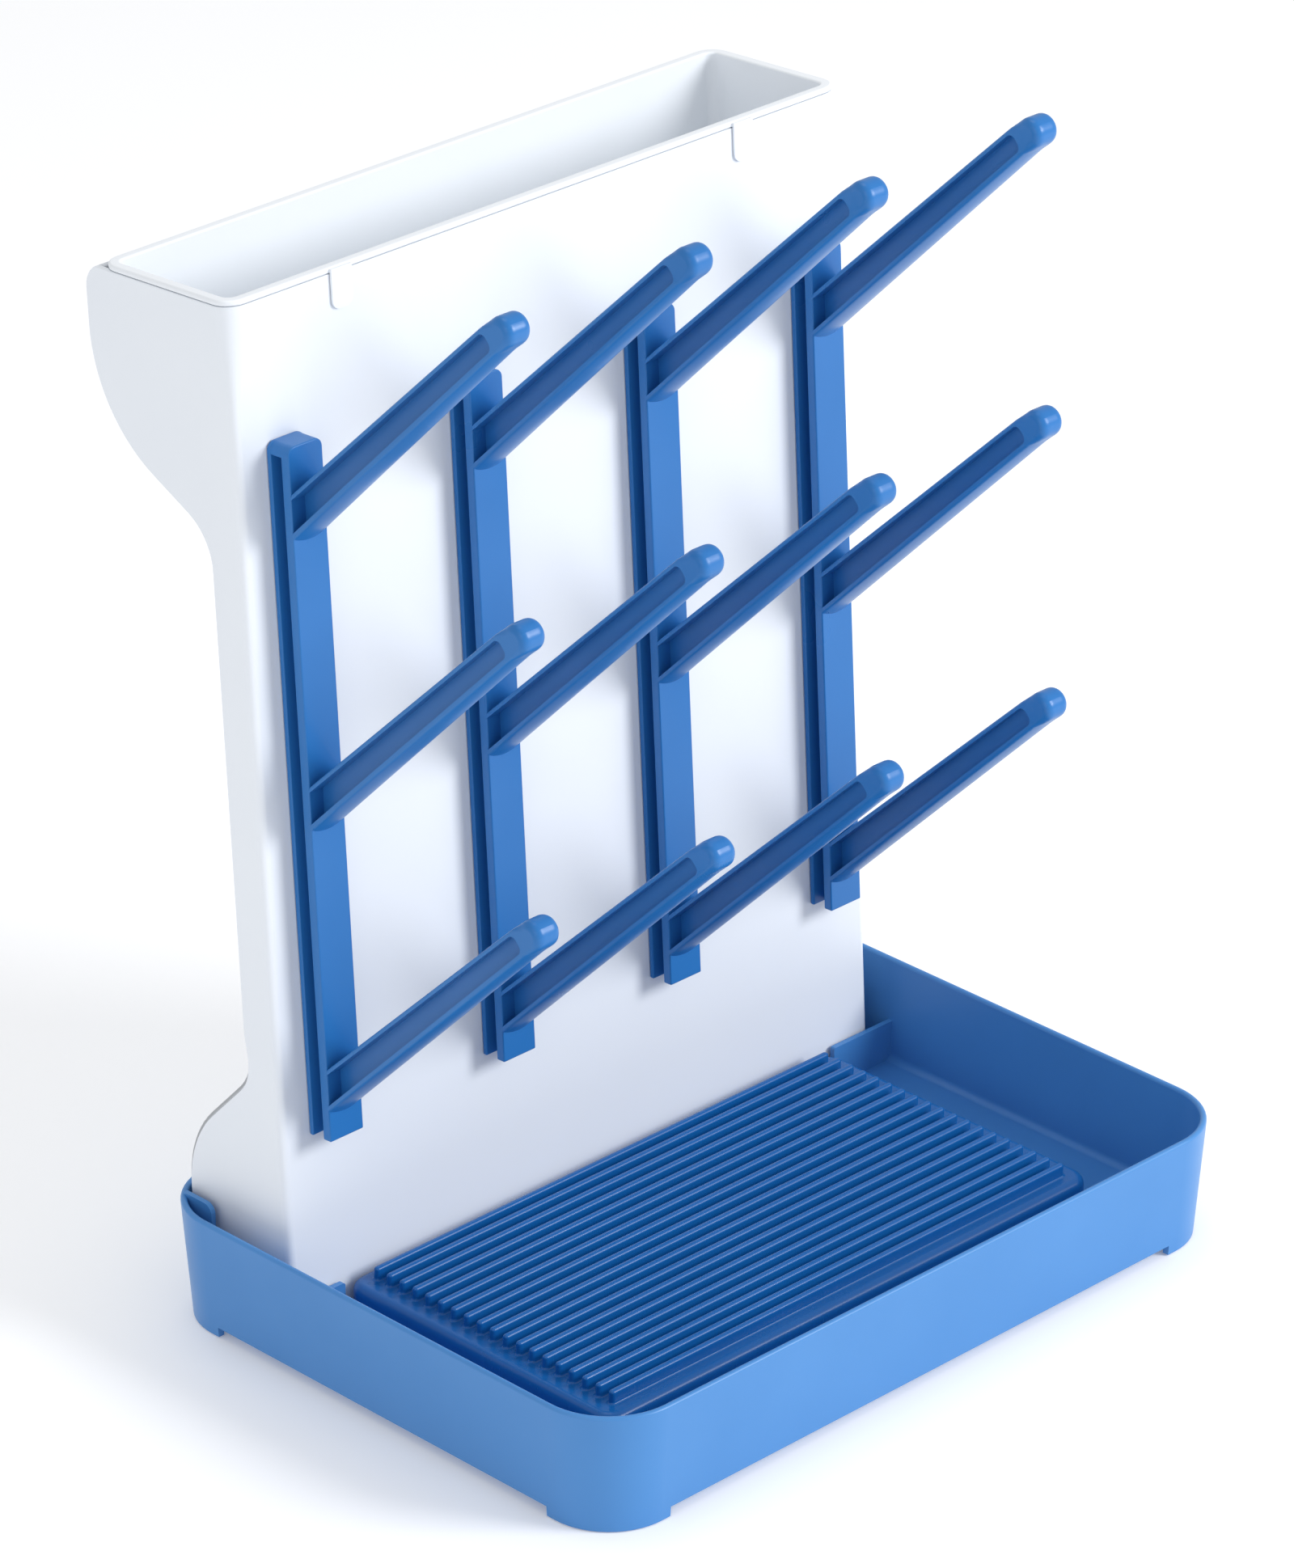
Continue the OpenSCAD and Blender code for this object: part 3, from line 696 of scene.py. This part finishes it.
publish(shell, "tower_front_shell_moulding", "tower_front_shell", "tower",
        white_plastic, LEANING, wall=2.2, inside=(0, 30, 200), edge=0.3)
print(len(holes), "cells open for the hooks")

# %% [markdown]
# ## The back cover
# The cover closes the channel from behind. It is the rear curve again, extruded across. Each screw
# sits in a round well: a square cell is deleted, a circle is laid in it and bridged to the cell's
# edges, and the circle is pushed in and capped.

# %% Back cover
cover_half = tower_half - 2.4
screw_zs = (foot_hollow_c[1] + 10, head_hollow_c[1] - 12)
screw_xs = (-rail_pitch, 0.0, rail_pitch)
cell_half, well_r, well_depth = 6, 3.3, 2.0
stations = [x + side * cell_half for x in screw_xs for side in (-1, 1)]
stations = [-cover_half] + stations + [cover_half]
levels = {(z, y) for z, y in rear if z > 8.5}
levels |= {(z + side * cell_half, waist) for z in screw_zs for side in (-1, 1)}
cover = bmesh.new()
low_y = foot_depth - foot_step
low_z = (shell_low.z + low_y * math.sin(lean)) / math.cos(lean)
tip = cover.verts.new((stations[0], low_y, low_z))
for z, y in sorted(levels):
    made = bmesh.ops.extrude_vert_indiv(cover, verts=[tip])
    tip = made["verts"][0]
    tip.co = (stations[0], y, z)
edges = list(cover.edges)
for before, after in zip(stations, stations[1:]):
    made = bmesh.ops.extrude_edge_only(cover, edges=edges)["geom"]
    edges = [g for g in made if isinstance(g, bmesh.types.BMEdge)]
    bmesh.ops.translate(cover, vec=(after - before, 0, 0),
                        verts=[g for g in made if isinstance(g, bmesh.types.BMVert)])
for x in screw_xs:
    for z in screw_zs:
        middle = Vector((x, waist, z))
        cell = min(cover.faces, key=lambda f: (f.calc_center_median() - middle).length)
        frame_edges = list(cell.edges)
        bmesh.ops.delete(cover, geom=[cell], context="FACES_ONLY")
        made = bmesh.ops.create_circle(cover, cap_ends=False, segments=24, radius=well_r)
        round_edges = list({e for v in made["verts"] for e in v.link_edges})
        bmesh.ops.rotate(cover, cent=(0, 0, 0), matrix=Matrix.Rotation(math.radians(90), 3, "X"),
                         verts=made["verts"])
        bmesh.ops.translate(cover, vec=middle, verts=made["verts"])
        bmesh.ops.bridge_loops(cover, edges=frame_edges + round_edges)
        well = bmesh.ops.extrude_edge_only(cover, edges=round_edges)["geom"]
        bottom = [g for g in well if isinstance(g, bmesh.types.BMEdge)]
        bmesh.ops.translate(cover, vec=(0, -well_depth, 0),
                            verts=[g for g in well if isinstance(g, bmesh.types.BMVert)])
        bmesh.ops.contextual_create(cover, geom=bottom)
publish(cover, "tower_back_cover_moulding", "tower_back_cover", "tower",
        white_plastic, LEANING, wall=2.1, inside=(0, -40, 200), edge=0)

# %% [markdown]
# ## Cover screws
# Six small pan-head screws. Each is turned from half a section, and two crossed blocks carve the
# recess that the driver turns. They are one CAD node, so all six go into one mesh.

# %% Screws
screws = bmesh.new()
for x in screw_xs:
    for z in screw_zs:
        one = bmesh.new()
        turned(one, [(0, -1.7), (0.9, -1.75), (2.3, -1.55), (2.9, -1.0), (3.0, -0.4), (2.9, 0.0),
                     (1.45, 0.05), (1.45, 8.6), (0, 9.2)], (0, 0, 0), steps=28)
        for half_x, half_y in ((1.6, 0.28), (0.28, 1.6)):
            driver = bmesh.new()
            block(driver, (-half_x, -half_y, -2.5), (half_x, half_y, -0.9))
            one = carve(one, driver)
        bmesh.ops.rotate(one, cent=(0, 0, 0), matrix=Matrix.Rotation(math.radians(90), 3, "X"),
                         verts=one.verts)
        bmesh.ops.translate(one, vec=(x, waist - well_depth, z), verts=one.verts)
        loose = bpy.data.meshes.new("one screw")
        one.to_mesh(loose)
        one.free()
        screws.from_mesh(loose)
        bpy.data.meshes.remove(loose)
publish(screws, "cover_screw_set", "cover_screws", "tower", steel, LEANING, edge=0)

# %% [markdown]
# ## The bin
# The bin is a long cup whose lip lies on the tower's top edge. One pull draws all of it: up the
# outside, out under the lip, over its rounded edge, and down the inside to a filleted floor. Two
# flat tabs hook over the front, and eight slots in the floor let water out.

# %% Top bin
cup_half, cup_y0, cup_y1 = tower_half - 2.7, 2.7, edge_c[0] - 0.5
cup_d, cup_y, cup_r = (cup_y1 - cup_y0) / 2, (cup_y0 + cup_y1) / 2, 5.3
cup_fillet, cup_wall = 3, 1.6
lip_z, lip_top, cup_low = tower_h + 0.3, tower_h + 2.3, tower_h - 56
cup = bmesh.new()
start = outline(cup, cup_half, cup_d, cup_r, cup_low, cup_y, steps=8)
for corner in start.verts:
    grow(cup_half, cup_d, cup_r, cup_y)(corner, (-cup_fillet, cup_low))
pull(cup, start,
     quarter(-cup_fillet, cup_low + cup_fillet, cup_fillet, -72, 0, 4)
     + [(0, lip_z), (2.4, lip_z)]
     + quarter(2.1, lip_z + 0.6, 0.6, -45, 0, 2)
     + quarter(1.8, lip_top - 0.9, 0.9, 0, 90, 4)
     + quarter(-0.8, lip_top - 0.8, 0.8, 90, 180, 4)
     + quarter(-cup_wall - cup_fillet, cup_low + cup_wall + cup_fillet, cup_fillet, 0, -90, 5),
     grow(cup_half, cup_d, cup_r, cup_y))
tab_x, tab_half, tab_low, tab_front = 98.3, 4.8, tower_h - 13.2, -1.1
tab_top = lip_top - 0.5
for side in (-1, 1):
    x = side * tab_x
    tab = bmesh.new()
    slab(tab, [(x - tab_half, tab_low), (x + tab_half, tab_low),
               (x + tab_half, tab_top), (x - tab_half, tab_top)],
         tab_front, -0.2, across="Y", rounds=[(0, 3.2), (1, 3.2)])
    cup = fuse(cup, tab)
    bridge = bmesh.new()
    block(bridge, (x - tab_half, tab_front, lip_z + 0.05), (x + tab_half, 2.5, tab_top))
    cup = fuse(cup, bridge)
drain_total = 8
drain_pitch = (2 * tower_half - 40) / drain_total
drains = bmesh.new()
for number in range(drain_total):
    x = (number - (drain_total - 1) / 2) * drain_pitch
    hole = outline(drains, 1.5, 12.5, 1.49, cup_low - 1, 26, steps=4)
    low_ring = list(hole.verts)
    made = bmesh.ops.extrude_face_region(drains, geom=[hole])
    top_ring = [g for g in made["geom"] if isinstance(g, bmesh.types.BMVert)]
    bmesh.ops.translate(drains, vec=(0, 0, 4), verts=top_ring)
    bmesh.ops.translate(drains, vec=(x, 0, 0), verts=low_ring + top_ring)
cup = carve(cup, drains)
publish(cup, "small_parts_bin", "top_bin", "bin", bin_plastic, LEANING, edge=0.25)

# %% [markdown]
# ## A rail and its pegs
# A rail is an I-beam on end: a face plate, a thin web and a back flange, closed at the top. Each
# peg is an I-beam too, so that it cools evenly in the mould and stays straight. Seen from the side
# a peg is a long U of flange that runs round the tip, with a thin web across it. The U is one
# outline, pulled across the peg in layers. In each layer the outline moves a little: the
# underside bulges down, the top edge is slightly rounded, and the tip closes in to a soft block.

# %% Peg outline
peg_len, tip_r = 141.5, 5.75
thin = (root_half - tip_r) / peg_len
narrow = (rail_half - tip_r) / peg_len
flange_top, flange_low, pocket_r = 1.6, 3.1, 2.6
pocket_end = peg_len - 5.9
close_len = 6.5          # the tip closes in over this length
belly = 1.5              # how far the underside bulges


def peg_half(w):
    return root_half - thin * w


def root_cut(v):
    """Where the peg's own length meets the plane inside the face plate."""
    return (v * math.sin(peg_turn) - 2.0) / math.cos(peg_turn)


def peg_frame(form, layers=9):
    """The U of flanges, from one side of the peg to the other."""
    top0, low0 = peg_half(0), -peg_half(0)
    near = [peg_len - close_len * (4 - i) / 4 for i in range(4)]
    pts = [(root_cut(low0), low0)] + [(w, -peg_half(w)) for w in near]
    pts += [(peg_len, -tip_r), (peg_len + tip_r, -tip_r), (peg_len + tip_r, tip_r), (peg_len, tip_r)]
    pts += [(w, peg_half(w)) for w in reversed(near)] + [(root_cut(top0), top0)]
    pts += [(root_cut(top0 - flange_top), top0 - flange_top),
            (pocket_end, tip_r - flange_top + 0.1), (pocket_end, -tip_r + flange_low - 0.1),
            (root_cut(low0 + flange_low), low0 + flange_low)]
    verts = [form.verts.new((0, w, v)) for w, v in pts]
    face = form.faces.new(verts)
    for number, radius in ((6, tip_r - 0.02), (7, tip_r - 0.02), (15, pocket_r), (16, pocket_r)):
        before = set(form.faces)
        before.discard(face)
        bmesh.ops.bevel(form, geom=[verts[number]], offset=radius, segments=8, profile=0.5,
                        affect="VERTICES", material=-1)
        face = next(f for f in form.faces if f not in before)
    plan = form.verts.layers.float_vector.new("plan")
    inner = form.verts.layers.int.new("inner")
    for v in face.verts:
        v[plan] = v.co
        w, h = v.co.y, v.co.z
        edge = peg_half(w) - 0.4
        v[inner] = 1 if (w < pocket_end + 0.01 and abs(h) < edge) else 0

    def place(v, share):
        _, w, h = v[plan]
        half_w = rail_half - narrow * min(w, peg_len)
        x = share * half_w
        if not v[inner]:
            close = min(max((w - peg_len + close_len) / close_len, 0), 1)
            close = close * close * (3 - 2 * close)
            edge = 0.8 * (1 - close) + 3.0 * close
            past = max(abs(x) - (half_w - edge), 0) / edge
            drop = edge * (1 - math.sqrt(max(1 - past * past, 0)))
            if w > peg_len:
                out = Vector((w - peg_len, h))
                out = out.normalized() * (out.length - drop)
                w, h = peg_len + out.x, out.y
            elif h > 0:
                h -= drop
            else:
                h += drop + belly * share * share * (1 - close)
        v.co = (x, w, h)

    shares = [-math.cos(math.radians(180 * i / (layers * 2))) for i in range(layers * 2 + 1)]
    for v in face.verts:
        place(v, shares[0])
    pull(form, face, shares[1:], place)


def peg_web(form):
    top0, low0 = peg_half(0) - 1, -peg_half(0) + 2
    slab(form, [(root_cut(low0), low0), (pocket_end + 2, -tip_r + 2), (pocket_end + 2, tip_r - 1),
                (root_cut(top0), top0)], -1.5, 1.5, across="X")


TO_FACE = Matrix(((1, 0, 0), (0, -math.cos(peg_turn), math.sin(peg_turn)),
                  (0, math.sin(peg_turn), math.cos(peg_turn))))
print("a peg is", round(peg_len + tip_r, 1), "mm long")

# %% [markdown]
# A rail meets its pegs in many short edges, where a Bevel modifier would stop at the first one
# that is too short. So the long edges are softened in the form itself, before the pegs are added.

# %% Soften
def soften(form, width):
    """Rounds every outward edge sharper than 50 degrees."""
    tidy(form)
    sharp = [e for e in form.edges if e.is_convex and e.calc_face_angle(0) > math.radians(50)]
    bmesh.ops.bevel(form, geom=sharp, offset=width, segments=3, profile=0.5, affect="EDGES",
                    material=-1, clamp_overlap=True)


print("soften is ready")

# %% [markdown]
# The body of the rail is extruded from its plan. Its upper corners are rounded with a bevel, and
# the cap closes the space between plate and flange.

# %% Rail body and cap
face_y = -rail_depth
plate_back = face_y + 4
web_half, flange_half, flange_front, flange_back = 1.5, 8.3, -2.2, -0.2
top_round = 3.4
body = bmesh.new()
plan_points = [(-rail_half, face_y), (rail_half, face_y), (rail_half, plate_back),
               (web_half, plate_back), (web_half, flange_front), (flange_half, flange_front),
               (flange_half, flange_back), (-flange_half, flange_back),
               (-flange_half, flange_front), (-web_half, flange_front), (-web_half, plate_back),
               (-rail_half, plate_back)]
slab(body, plan_points, rail_foot, rail_top, across="Z")
upper = [e for e in body.edges if all(v.co.z > rail_top - 0.1 for v in e.verts)
         and abs(e.verts[0].co.x - e.verts[1].co.x) < 0.01
         and abs(e.verts[0].co.x) > rail_half - 1]
bmesh.ops.bevel(body, geom=upper, offset=top_round, segments=6, profile=0.5, affect="EDGES",
                material=-1)
soften(body, 0.6)
cap_low, cap_top = rail_top - 4.4, rail_top - 0.02
cap = bmesh.new()
slab(cap, [(-rail_half, cap_low), (rail_half, cap_low), (rail_half, cap_top),
           (-rail_half, cap_top)],
     face_y + 2, -1.2, across="Y", rounds=[(2, top_round), (3, top_round)], steps=6)
soften(cap, 0.4)
body = fuse(body, cap)
print("rail body", len(body.faces), "faces")

# %% [markdown]
# The pegs are set down along the face plate, and three hooks on the back flange reach through the
# front shell's openings and hang on their edges. All of it is fused, so that a peg grows out of
# the plate as one moulding. One finished form is then copied to the four rails.

# %% Pegs, hooks and the four rails
for number in range(pegs_each):
    centre = Vector((0, face_y, rail_foot + under_pegs + root_h / 2 + number * peg_pitch))
    for draw in (peg_frame, peg_web):
        peg = bmesh.new()
        draw(peg)
        bmesh.ops.rotate(peg, cent=(0, 0, 0), matrix=TO_FACE, verts=peg.verts)
        bmesh.ops.translate(peg, vec=centre, verts=peg.verts)
        body = fuse(body, peg)
hook_low, hook_neck = 12, 6
for top in hook_tops:
    hook = bmesh.new()
    slab(hook, [(-1.2, top), (4.5, top), (4.5, top - hook_low), (2.5, top - hook_low),
                (2.5, top - hook_neck), (-1.2, top - hook_neck)],
         -2.5, 2.5, across="X", rounds=[(1, 1.2)])
    body = fuse(body, hook)
tidy(body)
rail_mesh = bpy.data.meshes.new("one rail")
body.to_mesh(rail_mesh)
body.free()
for number, x in enumerate(rail_xs, 1):
    copy = bmesh.new()
    copy.from_mesh(rail_mesh)
    publish(copy, f"peg_rail_{number}_moulding", f"peg_rail_{number}", f"rail_{number}",
            rail_plastic, LEANING @ Matrix.Translation((x, 0, 0)), edge=0)
bpy.data.meshes.remove(rail_mesh)

# %% [markdown]
# ## Floor, light and camera
# The rack stands on a plain white floor. A large soft light from the right and the front does most
# of the work, two weak ones fill from the left and from above, and the pale surroundings light the
# rest. The camera is far away with a long lens, so upright edges stay nearly parallel.

# %% Floor
sweep = bmesh.new()
bmesh.ops.create_grid(sweep, x_segments=1, y_segments=1, size=6.0)
floor_mesh = bpy.data.meshes.new("floor")
sweep.to_mesh(floor_mesh)
sweep.free()
floor = bpy.data.objects.new("floor", floor_mesh)
scene.collection.objects.link(floor)
paper = bpy.data.materials.new("matt_white_card")
paper.use_nodes = True
paper_skin = next(n for n in paper.node_tree.nodes if n.type == "BSDF_PRINCIPLED")
paper_skin.inputs["Base Color"].default_value = linear("#F4F5F7")
paper_skin.inputs["Roughness"].default_value = 0.9
paper_skin.inputs["Emission Color"].default_value = (1.0, 1.0, 1.0, 1.0)
paper_skin.inputs["Emission Strength"].default_value = 0.15
floor_mesh.materials.append(paper)
print("floor ready")

# %% Lights
world = bpy.data.worlds.new("pale room")
world.use_nodes = True
world.node_tree.nodes["Background"].inputs["Color"].default_value = (1.0, 1.0, 1.0, 1.0)
world.node_tree.nodes["Background"].inputs["Strength"].default_value = 0.68
scene.world = world
scene.view_settings.view_transform = "Standard"


def soft_light(name, place, aim, size, power):
    lamp = bpy.data.lights.new(name, "AREA")
    lamp.shape, lamp.size, lamp.energy = "DISK", size, power
    holder = bpy.data.objects.new(name, lamp)
    holder.location = place
    holder.rotation_euler = (Vector(place) - Vector(aim)).to_track_quat("Z", "Y").to_euler()
    scene.collection.objects.link(holder)


heart = Vector((0, tray_middle / 1000, 0.2))
soft_light("key", heart + Vector((1.2, -2.0, 1.2)), heart, 1.1, 47)
soft_light("fill", heart + Vector((-2.0, -0.6, 0.9)), heart, 1.6, 5)
soft_light("top", heart + Vector((0.1, 0.5, 2.2)), heart, 1.2, 6)
print("three lights")

# %% Camera
turn, rise, distance = math.radians(-44.6), math.radians(26.29), 2.6599
aim = Vector((-0.0266, tray_middle / 1000, 0.2088))
away = Vector((math.sin(turn) * math.cos(rise), -math.cos(turn) * math.cos(rise), math.sin(rise)))
lens = bpy.data.cameras.new("camera")
lens.sensor_fit, lens.sensor_width, lens.lens = "HORIZONTAL", 36.0, 208.18
lens.clip_end = 30.0
camera = bpy.data.objects.new("camera", lens)
camera.location = aim + away * distance
camera.rotation_euler = away.to_track_quat("Z", "Y").to_euler()
scene.collection.objects.link(camera)
scene.camera = camera
print("camera at", [round(c, 3) for c in camera.location])
